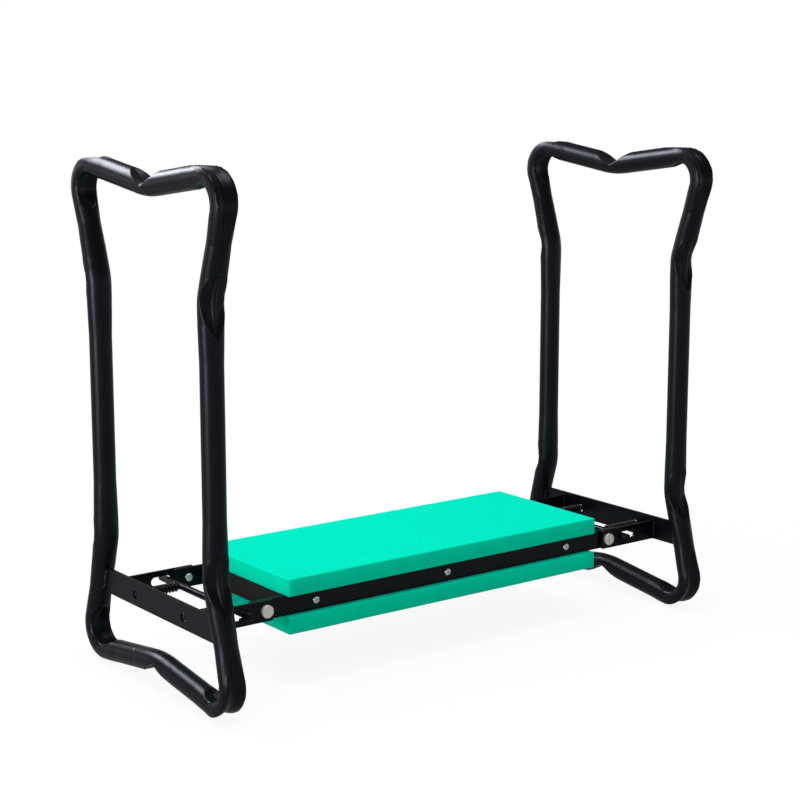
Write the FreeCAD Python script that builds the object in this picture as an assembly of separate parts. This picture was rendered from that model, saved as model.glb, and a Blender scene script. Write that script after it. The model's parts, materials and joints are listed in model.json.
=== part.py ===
"""Folding garden stool: a padded seat hung between two folding tube loops, usable either way up.

Units are millimetres. The origin is on the floor under the middle of the stool,
+X runs along the seat, +Y to the rear and +Z up. Every solid is placed where it sits at rest.
"""
import math
import os

import FreeCAD
import Part

V = FreeCAD.Vector

# Side loops
tube_diameter = 22.0
tube_wall = 1.2
loop_height = 498.5
loop_width = 280.0
loop_beyond_pad = 94.0
upright_spacing = 207.0
kink_from_end = 126.0
bar_dip = 13.0
seam_from_middle = 38.7
seam_groove_radius = 0.5

# Bends: centre-line radius, then the wheel that dented the inner side: radius, nose and depth
corner_bend_radius = 24.0
corner_die_radius = 19.5
corner_die_nose = 15.0
corner_dent_depth = 7.0
kink_bend_radius = 55.0
kink_die_radius = 49.5
kink_die_nose = 18.0
kink_dent_depth = 8.0
bar_bend_radius = 110.0
bar_die_radius = 25.0
bar_die_nose = 11.5
bar_dent_depth = 9.5
dent_rim_radius = 2.0

# Crease where the outer wall of each corner has fallen in
crease_radius = 20.0
crease_depth = 4.6
crease_reach = 62.0

# Flat steel
flat_thickness = 3.0
rail_height = 20.0
arm_height = 20.5
plate_height = 25.0
plate_above_rail = 1.5
arm_past_pivot = 8.0
arm_corner_radius = 1.5
weld_leg = 2.6

# Seat
pad_length = 390.0
pad_width = 158.0
pad_thickness = 17.0
pad_edge_radius = 1.2
pad_top = 106.5
core_width = 136.0
core_skin = 2.5
core_wall = 3.0
rib_thickness = 2.2
cells_along = 6
cells_across = 3

# Pivots
pivot_beyond_pad = 23.0
pivot_diameter = 6.0
pivot_head_diameter = 12.5
pivot_head_height = 3.4
pivot_head_rounding = 0.85
pivot_tail_diameter = 8.0
pivot_tail_height = 2.4
pivot_tail_rounding = 1.44
washer_diameter = 14.0
washer_thickness = 0.9
washer_gap = 1.0

# Latch
rod_diameter = 7.0
rod_beyond_pivot = 22.0
rod_overhang = 9.0
rod_end_chamfer = 0.8
rod_travel = 13.5
slot_height = 9.0
lip_length = 4.0
lip_corner_radius = 2.0
pin_from_middle = 45.0
pin_diameter = 6.2
pin_hole_diameter = 9.0
pin_end_recess = 0.5
spring_diameter = 9.5
spring_wire = 1.4
spring_coils = 11

# Rail screws
screw_spacing = 160.0
screw_diameter = 4.0
screw_length = 18.0
screw_head_diameter = 7.6
screw_head_height = 2.6
screw_head_rounding = 1.43
screw_recess_width = 1.1
screw_recess_length = 4.4
screw_recess_depth = 1.5
boss_width = 12.0

# Clearances
running_clearance = 0.08
fixed_clearance = 0.05
side_clearance = 0.3

# How near a face an edge has to lie to be picked for rounding
pick_margin = 0.1

# Sizes that follow from the ones above
tube_radius = tube_diameter / 2
crease_apart = tube_radius + crease_radius - crease_depth
crease_ridge = (tube_radius**2 + crease_apart**2 - crease_radius**2) / (2 * crease_apart)
loop_middle = loop_height / 2
kink_from_middle = loop_middle - kink_from_end
pad_end = pad_length / 2
loop_plane = pad_end + loop_beyond_pad
pivot_from_middle = pad_end + pivot_beyond_pad
rod_from_middle = pivot_from_middle + rod_beyond_pivot
arm_end = pivot_from_middle - arm_past_pivot
rail_top = pad_top - pad_thickness
rail_bottom = rail_top - rail_height
rail_axis = rail_top - rail_height / 2
rail_inner = core_width / 2
rail_outer = rail_inner + flat_thickness
arm_inner = rail_outer + washer_gap
arm_outer = arm_inner + flat_thickness
plate_inner = loop_plane - flat_thickness / 2
plate_top = rail_axis + plate_height / 2 + plate_above_rail
plate_bottom = plate_top - plate_height
rod_radius = rod_diameter / 2
screw_places = (-screw_spacing, 0.0, screw_spacing)


def box(x0, x1, y0, y1, z0, z1):
    """Box between two corners, given in any order."""
    low = V(min(x0, x1), min(y0, y1), min(z0, z1))
    return Part.makeBox(abs(x1 - x0), abs(y1 - y0), abs(z1 - z0), low)


def rod_along_y(radius, x, z, y0, y1):
    """Round bar along Y between two values of y."""
    return Part.makeCylinder(radius, abs(y1 - y0), V(x, min(y0, y1), z), V(0, 1, 0))


def mirrored(shape, normal):
    """Copy of a shape on the other side of the plane through the origin."""
    return shape.mirror(V(0, 0, 0), normal)


def tangent_point(centre, radius, point, turn):
    """Where a line from a point touches a circle; turn picks one of the two."""
    dy = point[0] - centre[0]
    dz = point[1] - centre[1]
    angle = math.atan2(dz, dy) + turn * math.acos(radius / math.hypot(dy, dz))
    return centre[0] + radius * math.cos(angle), centre[1] + radius * math.sin(angle)


def loop_corners():
    """Sharp corners of the loop's centre line, round from the top, with each bend's sizes.

    The end corners are placed so that their creased ridges reach the loop's full width and height.
    """
    dip = (0.0, loop_middle - tube_radius - bar_dip)
    kink = (upright_spacing / 2, kink_from_middle)
    inset = corner_bend_radius + crease_ridge
    centre = (loop_width / 2 - inset, loop_middle - inset)
    top = tangent_point(centre, corner_bend_radius, dip, -1)
    side = tangent_point(centre, corner_bend_radius, kink, 1)
    half_y = (top[0] + side[0]) / 2 - centre[0]
    half_z = (top[1] + side[1]) / 2 - centre[1]
    reach = corner_bend_radius**2 / (half_y**2 + half_z**2)
    corner = (centre[0] + half_y * reach, centre[1] + half_z * reach)

    bar_bend = (bar_bend_radius, bar_die_radius, bar_die_nose, bar_dent_depth)
    corner_bend = (corner_bend_radius, corner_die_radius, corner_die_nose, corner_dent_depth)
    kink_bend = (kink_bend_radius, kink_die_radius, kink_die_nose, kink_dent_depth)
    half = [(dip, bar_bend), (corner, corner_bend), (kink, kink_bend)]
    lower = [((y, -z), bend) for (y, z), bend in reversed(half)]
    right = half + lower
    left = [((-y, z), bend) for (y, z), bend in reversed(right[1:-1])]
    return right + left


def loop_bends():
    """Each bend of the loop: its two ends, its centre, its turn and the sizes of its dent."""
    corners = [(V(-loop_plane, y, z + loop_middle), bend) for (y, z), bend in loop_corners()]
    bends = []
    for i, (corner, (radius, die, nose, depth)) in enumerate(corners):
        back = (corners[i - 1][0] - corner).normalize()
        ahead = (corners[(i + 1) % len(corners)][0] - corner).normalize()
        half_turn = (math.pi - back.getAngle(ahead)) / 2
        reach = radius * math.tan(half_turn)
        inward = (back + ahead).normalize()
        bends.append(
            {
                "start": corner + back * reach,
                "end": corner + ahead * reach,
                "centre": corner + inward * (radius / math.cos(half_turn)),
                "axis": back.cross(ahead).normalize() * -1,
                "heading": back * -1,
                "turn": math.degrees(2 * half_turn),
                "inward": inward,
                "radius": radius,
                "die": die,
                "nose": nose,
                "depth": depth,
            }
        )
    return bends


def bent_bar(bends, radius):
    """Round bar of one radius along the whole loop."""
    pieces = []
    for bend, after in zip(bends, bends[1:] + bends[:1]):
        section = Part.Face(Part.Wire(Part.makeCircle(radius, bend["start"], bend["heading"])))
        pieces.append(section.revolve(bend["centre"], bend["axis"], bend["turn"]))
        straight = after["start"] - bend["end"]
        pieces.append(Part.makeCylinder(radius, straight.Length, bend["end"], straight))
    return pieces[0].multiFuse(pieces[1:])


def crush_die(bend, grow):
    """Round-nosed wheel that has pressed the tube in on the inner side of a bend."""
    out = tube_radius - bend["radius"] - bend["depth"] + bend["die"]
    centre = bend["centre"] + bend["inward"] * out
    half = bend["nose"] + grow
    rim = bend["die"] + grow
    shoulder = rim - half
    left_foot = centre + V(-half, 0, 0)
    left_shoulder = centre + V(-half, shoulder, 0)
    right_shoulder = centre + V(half, shoulder, 0)
    right_foot = centre + V(half, 0, 0)
    edges = [
        Part.makeLine(left_foot, left_shoulder),
        Part.Arc(left_shoulder, centre + V(0, rim, 0), right_shoulder).toShape(),
        Part.makeLine(right_shoulder, right_foot),
        Part.makeLine(right_foot, left_foot),
    ]
    return Part.Face(Part.Wire(edges)).revolve(centre, V(1, 0, 0), 360)


def nose_made(face):
    """Whether a face of the dented bar is the print of a die's nose."""
    surface = face.Surface
    return isinstance(surface, Part.Toroid) and not math.isclose(surface.MinorRadius, tube_radius)


def softened_rims(bar):
    """Dented bar with the rims of its dents rounded over."""
    rims = []
    for edge in bar.Edges:
        faces = bar.ancestorsOfType(edge, Part.Face)
        if len(faces) == 2 and nose_made(faces[0]) != nose_made(faces[1]):
            rims.append(edge)
    return bar.makeFillet(dent_rim_radius, rims)


def crease_tool(bend, grow):
    """Bent round bar pressed into the outside of a corner, with legs that lean away from the tube."""
    half_arc = bend["radius"] * math.radians(bend["turn"] / 2)
    lean = math.degrees(math.asin(crease_depth / (crease_reach - half_arc)))
    half_turn = bend["turn"] / 2 - lean
    radius = crease_radius + grow
    legs = []
    for side in (-1, 1):
        spoke = FreeCAD.Rotation(bend["axis"], side * half_turn).multVec(bend["inward"] * -1)
        joint = bend["centre"] + spoke * (bend["radius"] + crease_apart)
        heading = bend["axis"].cross(spoke) * side
        legs.append(Part.makeCylinder(radius, crease_reach, joint, heading))
        section = Part.Face(Part.Wire(Part.makeCircle(radius, joint, heading)))
    elbow = section.revolve(bend["centre"], bend["axis"], -2 * half_turn)
    return elbow.multiFuse(legs)


def frame_tube(bends):
    """Hollow tube loop with a dent inside every bend, a crease outside every corner and a butt seam."""
    corners = [bend for bend in bends if bend["radius"] == corner_bend_radius]
    outside = softened_rims(bent_bar(bends, tube_radius).cut([crush_die(b, 0.0) for b in bends]))
    outside = outside.cut([crease_tool(b, 0.0) for b in corners])
    inside = bent_bar(bends, tube_radius - tube_wall).cut([crush_die(b, tube_wall) for b in bends])
    inside = inside.cut([crease_tool(b, tube_wall) for b in corners])
    lowest = min(bends, key=lambda b: b["centre"].z + abs(b["centre"].y) * loop_height)
    bar = lowest["start"] - bends[bends.index(lowest) - 1]["end"]
    along = bar * (1 / abs(bar.y))
    seam = lowest["start"] - along * (seam_from_middle - abs(lowest["start"].y))
    groove = Part.makeTorus(tube_radius, seam_groove_radius, seam, bar)
    return outside.cut([groove, inside]).Solids[0]


def rounded_slot(x0, x1, z, height, y0, y1):
    """Cutter for a round-ended slot along X."""
    radius = height / 2
    low = min(x0, x1) + radius
    high = max(x0, x1) - radius
    ends = [rod_along_y(radius, x, z, y0, y1) for x in (low, high)]
    return box(low, high, y0, y1, z - radius, z + radius).multiFuse(ends)


def left_front_arm():
    """Flat arm from the cross plate to the pivot, slotted for the lock rod."""
    arm = box(
        -plate_inner, -arm_end, -arm_outer, -arm_inner,
        rail_axis - arm_height / 2, rail_axis + arm_height / 2,
    )
    free = [
        e for e in arm.Edges
        if e.BoundBox.XMin > -arm_end - pick_margin and e.BoundBox.YLength > pick_margin
    ]
    arm = arm.makeFillet(arm_corner_radius, free)
    hole_radius = pivot_diameter / 2 + running_clearance
    hole = rod_along_y(hole_radius, -pivot_from_middle, rail_axis, -arm_outer, -arm_inner)
    inner_end = -(rod_from_middle - slot_height / 2)
    outer_end = -(rod_from_middle + rod_travel + slot_height / 2)
    slot = rounded_slot(inner_end, outer_end, rail_axis, slot_height, -arm_outer, -arm_inner)
    return arm.cut([hole, slot])


def flank_of_upright(bends, z):
    """Inner flank, at a height, of the front upright's lower, flared part, as a value of y."""
    ends = [(bend["end"], after["start"]) for bend, after in zip(bends, bends[1:] + bends[:1])]
    front_low = [pair for pair in ends if all(p.y < 0 and p.z < loop_middle for p in pair)]
    flare = max(front_low, key=lambda pair: abs(pair[1].z - pair[0].z))
    low, high = sorted(flare, key=lambda p: p.z)
    along = (high - low).normalize()
    return low.y + along.y * (z - low.z) / along.z + tube_radius / along.z


def left_cross_plate(tube_outline):
    """Flat plate coped between the two uprights, with a hole for each guide pin."""
    outer = -loop_plane - flat_thickness / 2
    plate = box(outer, -plate_inner, -loop_width / 2, loop_width / 2, plate_bottom, plate_top)
    plate = min(plate.cut(tube_outline).Solids, key=lambda s: abs(s.CenterOfMass.y))
    hole_radius = pin_hole_diameter / 2
    holes = [
        Part.makeCylinder(hole_radius, flat_thickness, V(outer, y, rail_axis), V(1, 0, 0))
        for y in (-pin_from_middle, pin_from_middle)
    ]
    return plate.cut(holes)


def left_weld_beads(bends, tube_outline, plate, front_arm):
    """Weld beads where the plate meets the uprights and the arms meet the plate."""
    reach = weld_leg + flat_thickness / 2
    foot = V(-loop_plane, flank_of_upright(bends, plate_bottom), plate_bottom)
    rise = V(-loop_plane, flank_of_upright(bends, plate_top), plate_top) - foot
    past_plate = box(-loop_plane - reach, -loop_plane + reach, 0, -loop_width, plate_bottom, plate_top)
    plate_bead = Part.makeCylinder(reach, 2 * rise.Length, foot - rise / 2, rise)
    plate_bead = plate_bead.common(past_plate).cut([tube_outline, plate])

    arm_middle = (arm_inner + arm_outer) / 2
    arm_foot = V(-plate_inner, -arm_middle, rail_axis - arm_height / 2)
    behind = box(-plate_inner, -loop_plane - reach, 0, -loop_width, plate_bottom, plate_top)
    arm_bead = Part.makeCylinder(reach, arm_height, arm_foot).cut([behind, front_arm])

    beads = plate_bead.Solids + arm_bead.Solids
    return beads + [mirrored(bead, V(0, 1, 0)) for bead in beads]


def left_front_pivot():
    """Headed pivot pin through arm, washer and rail, its tail formed over inside the rail."""
    x = -pivot_from_middle
    head_face = -arm_outer - side_clearance
    head = rod_along_y(pivot_head_diameter / 2, x, rail_axis, head_face, head_face - pivot_head_height)
    rim = [e for e in head.Edges if e.BoundBox.YMax < head_face - pivot_head_height + pick_margin]
    head = head.makeFillet(pivot_head_rounding, rim)
    shank = rod_along_y(pivot_diameter / 2, x, rail_axis, head_face, -rail_inner)
    tail_end = -rail_inner + pivot_tail_height
    tail = rod_along_y(pivot_tail_diameter / 2, x, rail_axis, -rail_inner, tail_end)
    rim = [e for e in tail.Edges if e.BoundBox.YMin > tail_end - pick_margin]
    tail = tail.makeFillet(pivot_tail_rounding, rim)
    return head.multiFuse([shank, tail])


def left_front_washer():
    """Spacer washer on the pivot between rail and arm."""
    x = -pivot_from_middle
    washer = rod_along_y(washer_diameter / 2, x, rail_axis, -rail_outer, -rail_outer - washer_thickness)
    bore_radius = pivot_diameter / 2 + fixed_clearance
    return washer.cut(rod_along_y(bore_radius, x, rail_axis, -arm_inner, -rail_inner))


def front_rail():
    """Flat rail that carries the seat; each end is rounded about its pivot over a lip for the rod."""
    end = rod_from_middle + lip_length
    rail = box(-end, end, -rail_outer, -rail_inner, rail_bottom, rail_top)
    tips = [e for e in rail.Edges if e.BoundBox.YLength > pick_margin and e.BoundBox.ZMax < rail_axis]
    rail = rail.makeFillet(lip_corner_radius, tips)
    lip_top = rail_axis - rod_radius - side_clearance
    nose_radius = rod_beyond_pivot - rod_radius - side_clearance
    for side in (-1, 1):
        pivot = side * pivot_from_middle
        nose = rod_along_y(nose_radius, pivot, rail_axis, -rail_outer, -rail_inner)
        spare = box(pivot, side * end, -rail_outer, -rail_inner, lip_top, rail_top)
        hole_radius = pivot_diameter / 2 + fixed_clearance
        hole = rod_along_y(hole_radius, pivot, rail_axis, -rail_outer, -rail_inner)
        rail = rail.cut([spare.cut(nose), hole])
    hole_radius = screw_diameter / 2 + fixed_clearance
    return rail.cut(
        [rod_along_y(hole_radius, x, rail_axis, -rail_outer, -rail_inner) for x in screw_places]
    )


def front_screw(x):
    """Pan-head screw with a cross recess, through the rail into the core."""
    top = -rail_outer - screw_head_height
    head = rod_along_y(screw_head_diameter / 2, x, rail_axis, -rail_outer, top)
    rim = [e for e in head.Edges if e.BoundBox.YMax < top + pick_margin]
    head = head.makeFillet(screw_head_rounding, rim)
    shank = rod_along_y(screw_diameter / 2, x, rail_axis, -rail_outer, -rail_outer + screw_length)
    floor = top + screw_recess_depth
    half_length = screw_recess_length / 2
    half_width = screw_recess_width / 2
    bar = box(x - half_length, x + half_length, top, floor,
              rail_axis - half_width, rail_axis + half_width)
    post = box(x - half_width, x + half_width, top, floor,
               rail_axis - half_length, rail_axis + half_length)
    return head.fuse(shank).cut([bar, post])


def seat_core():
    """Moulded board between the rails: a skin over walls and ribs, with a boss for each screw."""
    half_length = pad_length / 2
    half_width = core_width / 2
    core = box(-half_length, half_length, -half_width, half_width, rail_bottom, rail_top)
    cell_x = (pad_length - 2 * core_wall - (cells_along - 1) * rib_thickness) / cells_along
    cell_y = (core_width - 2 * core_wall - (cells_across - 1) * rib_thickness) / cells_across
    cells = []
    for i in range(cells_along):
        x = -half_length + core_wall + i * (cell_x + rib_thickness)
        for j in range(cells_across):
            y = -half_width + core_wall + j * (cell_y + rib_thickness)
            cells.append(box(x, x + cell_x, y, y + cell_y, rail_bottom, rail_top - core_skin))
    core = core.cut(cells)
    boss_depth = screw_length - flat_thickness + core_wall
    pilot_radius = screw_diameter / 2 + fixed_clearance
    bosses = []
    pilots = []
    for x in screw_places:
        for side in (-1, 1):
            wall = side * half_width
            deep = side * (half_width - boss_depth)
            bosses.append(box(x - boss_width / 2, x + boss_width / 2, wall, deep, rail_bottom, rail_top))
            tip = side * (half_width - screw_length + flat_thickness)
            pilots.append(rod_along_y(pilot_radius, x, rail_axis, wall, tip))
    return core.multiFuse(bosses).cut(pilots).removeSplitter()


def foam_pad(bottom):
    """Foam pad with softened edges."""
    pad = box(-pad_length / 2, pad_length / 2, -pad_width / 2, pad_width / 2,
              bottom, bottom + pad_thickness)
    return pad.makeFillet(pad_edge_radius, pad.Edges)


def left_lock_rod():
    """Lock rod across both arms, with two guide pins that run through the cross plate."""
    end = arm_outer + rod_overhang
    rod = rod_along_y(rod_radius, -rod_from_middle, rail_axis, -end, end)
    rims = [e for e in rod.Edges if e.BoundBox.YLength < pick_margin]
    rod = rod.makeChamfer(rod_end_chamfer, rims)
    reach = loop_plane + flat_thickness / 2 - pin_end_recess - rod_from_middle
    pins = []
    for y in (-pin_from_middle, pin_from_middle):
        pin = Part.makeCylinder(pin_diameter / 2, reach, V(-rod_from_middle, y, rail_axis), V(-1, 0, 0))
        tip = [e for e in pin.Edges if e.BoundBox.XMax < -rod_from_middle - reach + pick_margin]
        pins.append(pin.makeChamfer(rod_end_chamfer, tip))
    return rod.multiFuse(pins)


def left_front_spring():
    """Coil spring on the guide pin, between the lock rod and the cross plate."""
    wire_radius = spring_wire / 2
    coil_radius = (spring_diameter - spring_wire) / 2
    start = rod_from_middle + rod_radius + side_clearance + wire_radius
    length = plate_inner - side_clearance - wire_radius - start
    helix = Part.makeHelix(length / spring_coils, length, coil_radius)
    section = Part.Wire(Part.makeCircle(wire_radius, V(coil_radius, 0, 0), V(0, 1, 0)))
    coil = Part.Wire(helix).makePipeShell([section], True, True)
    coil.rotate(V(0, 0, 0), V(0, 1, 0), -90)
    coil.translate(V(-start, -pin_from_middle, rail_axis))
    return coil


def build():
    """Every node of the stool by name."""
    x_mirror = V(1, 0, 0)
    y_mirror = V(0, 1, 0)
    bends = loop_bends()
    outline = bent_bar(bends, tube_radius)
    plate = left_cross_plate(outline)
    arm = left_front_arm()
    rail = front_rail()
    screws = [front_screw(x) for x in screw_places]

    left = {
        "frame_tube": frame_tube(bends),
        "cross_plate": plate,
        "weld_beads": Part.makeCompound(left_weld_beads(bends, outline, plate, arm)),
        "lock_rod": left_lock_rod(),
    }
    left_corner = {
        "arm": arm,
        "pivot": left_front_pivot(),
        "washer": left_front_washer(),
        "spring": left_front_spring(),
    }
    for name, shape in left_corner.items():
        left["front_" + name] = shape
        left["rear_" + name] = mirrored(shape, y_mirror)

    nodes = {
        "seat_core": seat_core(),
        "upper_pad": foam_pad(rail_top),
        "lower_pad": foam_pad(rail_bottom - pad_thickness),
        "front_rail": rail,
        "rear_rail": mirrored(rail, y_mirror),
        "front_rail_screws": Part.makeCompound(screws),
        "rear_rail_screws": Part.makeCompound([mirrored(s, y_mirror) for s in screws]),
    }
    for name, shape in left.items():
        nodes["left_" + name] = shape
        nodes["right_" + name] = mirrored(shape, x_mirror)
    return nodes


os.makedirs("parts", exist_ok=True)
for node_name, node_shape in build().items():
    node_shape.exportStep(os.path.join("parts", node_name + ".step"))
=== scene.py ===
"""Folding garden stool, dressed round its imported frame.

Lengths are metres in the frame's own axes: +X along the seat, +Y to the rear and +Z up.
"""
import json
import math

import bmesh
import bpy
from bpy.props import FloatProperty, FloatVectorProperty, IntProperty, PointerProperty
from bpy.types import Operator, Panel, PropertyGroup
from mathutils import Matrix, Vector, noise

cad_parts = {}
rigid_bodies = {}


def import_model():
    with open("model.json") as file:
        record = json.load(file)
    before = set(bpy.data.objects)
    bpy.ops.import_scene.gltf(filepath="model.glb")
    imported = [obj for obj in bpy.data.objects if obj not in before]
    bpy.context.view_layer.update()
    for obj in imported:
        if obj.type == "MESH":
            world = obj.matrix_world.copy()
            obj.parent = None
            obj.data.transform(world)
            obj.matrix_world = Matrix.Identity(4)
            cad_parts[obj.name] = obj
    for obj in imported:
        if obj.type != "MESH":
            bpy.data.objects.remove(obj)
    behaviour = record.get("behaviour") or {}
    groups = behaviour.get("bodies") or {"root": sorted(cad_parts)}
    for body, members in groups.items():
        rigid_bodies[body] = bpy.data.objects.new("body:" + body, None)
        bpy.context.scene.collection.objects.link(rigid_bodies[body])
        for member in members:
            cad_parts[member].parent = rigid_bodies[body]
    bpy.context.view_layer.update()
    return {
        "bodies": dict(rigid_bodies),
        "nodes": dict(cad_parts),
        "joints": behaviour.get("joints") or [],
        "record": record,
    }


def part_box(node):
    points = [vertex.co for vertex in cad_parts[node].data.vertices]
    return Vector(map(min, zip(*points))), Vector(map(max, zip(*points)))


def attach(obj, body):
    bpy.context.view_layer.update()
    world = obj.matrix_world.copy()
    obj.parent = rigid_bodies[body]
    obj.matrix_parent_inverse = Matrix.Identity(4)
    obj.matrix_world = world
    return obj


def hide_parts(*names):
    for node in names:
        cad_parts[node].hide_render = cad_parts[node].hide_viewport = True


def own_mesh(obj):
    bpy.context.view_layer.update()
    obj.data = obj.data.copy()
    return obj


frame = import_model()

bl_info = {
    "name": "Folding Garden Stool",
    "version": (1, 0, 0),
    "blender": (4, 5, 0),
    "location": "View3D > Sidebar > Stool",
    "description": "Builds a folding garden stool round its frame",
    "category": "Object",
}

MM = 0.001
TUBE_LOW, TUBE_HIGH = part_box("left_frame_tube")
TUBE_RADIUS = (TUBE_HIGH.x - TUBE_LOW.x) / 2
SIDES = ("left", "right")
ENDS = ("front", "rear")
ACROSS = Vector((1, 0, 0))
SAME_PLACE = 0.001 * MM

# Mesh fineness.
WELD_SIDES = 16
RINGS_PER_RIPPLE = 6
WIRE_SIDES = 12
STEPS_PER_COIL = 24
RIM_STEPS = 5
PIN_STEPS = 48
BISECTIONS = 14
PAD_CUTS = ((0, 60), (1, 24))

# Outlines and hollows of the dents, as powers and as shares of their width.
LEAF_END = 0.02
KINK_POINT = 1.7
KINK_HOLLOW = 4
KINK_LIP_WIDTH = 0.4
KINK_RIDGE_WIDTH = 0.3
BAR_POINT = 0.7
BAR_HOLLOW = 2.5
CREASE_HOLLOW = 3
CREASE_LIP_WIDTH = 0.3
WRINKLE_PLACE = math.radians(70)
WRINKLE_WIDTH = math.radians(40)
DINT_REACH = 0.75

# Weld beads, as shares of their radius, and the size of their lumps.
WELD_INSET = 0.6
WELD_CORE = 0.9
WELD_BLUNT = 0.15
WELD_LUMP = 3 * MM

# Foam: the turn of the embossed lines, one cycle of a wave texture, and how the cut sides wander.
# The wander has a fixed seed, because vector noise without one changes from run to run.
EMBOSS_TURN = math.radians(40)
WAVE_CYCLE = math.pi * 0.1
WANDER_SIZE = 45 * MM
WANDER_SEED = 1
SKIN_SLOPE = 0.8

# Stage.
FLOOR_RADIUS = 6.0
FLOOR_SEGMENTS = 64
WORLD_LIGHT = 0.6


def length(name, description, size):
    """Property for a length given in millimetres."""
    return FloatProperty(name=name, description=description, default=size * MM, unit="LENGTH", precision=4)


def angle(name, description, size):
    """Property for an angle given in degrees."""
    return FloatProperty(name=name, description=description, default=math.radians(size), subtype="ANGLE")


def share(name, description, size):
    """Property for a part of a whole."""
    return FloatProperty(name=name, description=description, default=size, min=0, max=1)


def linear(code):
    """Linear colour of an sRGB hex code."""
    parts = [int(code[i:i + 2], 16) / 255 for i in (1, 3, 5)]
    return [c / 12.92 if c <= 0.04045 else ((c + 0.055) / 1.055) ** 2.4 for c in parts]


def colour(name, description, code):
    """Property for a colour given as an sRGB hex code."""
    return FloatVectorProperty(
        name=name, description=description, default=linear(code), subtype="COLOR", size=3, min=0, max=1
    )


class LoopSizes(PropertyGroup):
    """Sizes of the bent tube loops that the frame's box doesn't give."""

    upright_spacing: length("Upright spacing", "Between the middles of the two uprights", 207)
    upper_kink: length("Upper kink", "From the loop's upper end to the kink in an upright", 118)
    lower_kink: length("Lower kink", "From the loop's lower end to the kink in an upright", 126)
    side_inset: length("Side inset", "From the side of the loop's box to the centre line at a corner", 11.5)
    end_inset: length("End inset", "From the end of the loop's box to the centre line at a corner", 10)
    bar_dip: length("Bar dip", "How far the end bar dips at its middle", 13)
    corner_bend: length("Corner bend", "Centre-line radius of the four corners", 24)
    kink_bend: length("Kink bend", "Centre-line radius of the kinks", 55)
    bar_bend: length("Bar bend", "Centre-line radius of the dip in the bar", 110)
    corner_die: length("Corner wheel", "Radius of the wheel that pressed the corners", 19.5)
    corner_nose: length("Corner nose", "Radius across the edge of that wheel", 15)
    corner_dent: length("Corner dent", "Depth of the dent inside a corner", 7)
    rim: length("Rim", "How far the rim of that dent is rounded", 1.6)
    kink_dent: length("Kink dent", "Depth of the leaf-shaped dent inside a kink", 6.4)
    kink_above: length("Kink above", "Length of that dent above the kink", 28)
    kink_below: length("Kink below", "Length of that dent below the kink", 34)
    kink_spread: angle("Kink spread", "Half its width, round the tube", 80)
    kink_ridge: share("Kink ridge", "Height of the ridge along its middle, as a share of its depth", 0.4)
    kink_lip: length("Kink lip", "Height of the lip round it", 0.5)
    kink_swell: length("Kink swell", "How much each flank of the tube stands out at a kink", 1.3)
    bar_dent: length("Bar dent", "Depth of the dent in a bar", 10)
    bar_reach: length("Bar reach", "Length of that dent each way from the bar's middle", 30)
    bar_spread: angle("Bar spread", "Half its width, round the tube", 100)
    crease_depth: length("Crease depth", "Depth of the crease along the outside of a corner", 8)
    crease_spread: angle("Crease spread", "Half the width of that crease, round the tube", 60)
    crease_lip: length("Crease lip", "Height of the lip along it", 0.6)
    crease_reach: length("Crease reach", "Length of that crease each way from the corner's middle", 52)
    corner_swell: length("Corner swell", "How much each flank of the tube stands out at a corner", 1.5)
    dint: length("Dint", "Height of the small dints in the pressed places", 0.14)
    dint_size: length("Dint size", "Distance between those dints", 9)
    wrinkle: length("Wrinkle", "Height of the wrinkles beside a corner's dent", 0.35)
    wrinkle_size: length("Wrinkle size", "Distance between those wrinkles", 4)
    seam_from_middle: length("Seam from middle", "From the middle of the lower bar to its butt seam", 38.7)
    seam_depth: length("Seam depth", "Depth of the groove along that seam", 0.5)
    seam_width: length("Seam width", "Half the width of that groove", 1.3)
    pressed_reach: length("Pressed reach", "How far from a bend's middle the mesh is fine", 64)
    plain_step: length("Plain step", "Distance between rings of the mesh along straight tube", 8)
    step: length("Step", "Distance between rings of the mesh at a bend", 1.3)
    segments: IntProperty(name="Segments", description="Faces round the tube", default=80)


class SteelSizes(PropertyGroup):
    """Sizes of the small steel details."""

    flat_edge: length("Flat edge", "Rounding of the flat steel's edges", 0.45)
    small_edge: length("Small edge", "Rounding of the pins' and rods' edges", 0.2)
    weld_radius: length("Weld radius", "Radius of a weld bead", 2.5)
    weld_ripple: length("Weld ripple", "Height of a bead's ripples", 0.4)
    weld_pitch: length("Weld pitch", "Distance between a bead's ripples", 2.4)
    head_height: length("Head height", "Height of a pivot's head", 3.4)
    head_rounding: length("Head rounding", "Rounding of its rim", 0.85)
    head_ring: length("Head ring", "Radius of the ring pressed in its face", 3.7)
    head_dimple: length("Head dimple", "Radius of the dimple in its middle", 1.2)
    head_mark: length("Head mark", "Depth of that ring and dimple", 0.35)
    shank_radius: length("Shank radius", "Radius of a pivot's shank", 3)
    tail_radius: length("Tail radius", "Radius of its formed tail", 4)
    tail_height: length("Tail height", "Height of its formed tail", 2.4)
    spring_wire: length("Spring wire", "Diameter of the spring wire", 1.5)
    spring_diameter: length("Spring diameter", "Outside diameter of a spring", 9.5)
    spring_coils: IntProperty(name="Spring coils", description="Turns in a spring", default=12)


class FoamSizes(PropertyGroup):
    """Sizes of the foam pads' surface."""

    edge: length("Edge", "Rounding of the pads' cut edges", 1.1)
    unevenness: length("Unevenness", "How far the cut sides wander", 0.25)
    emboss_pitch: length("Emboss pitch", "Distance between the embossed lines", 3.2)


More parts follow.
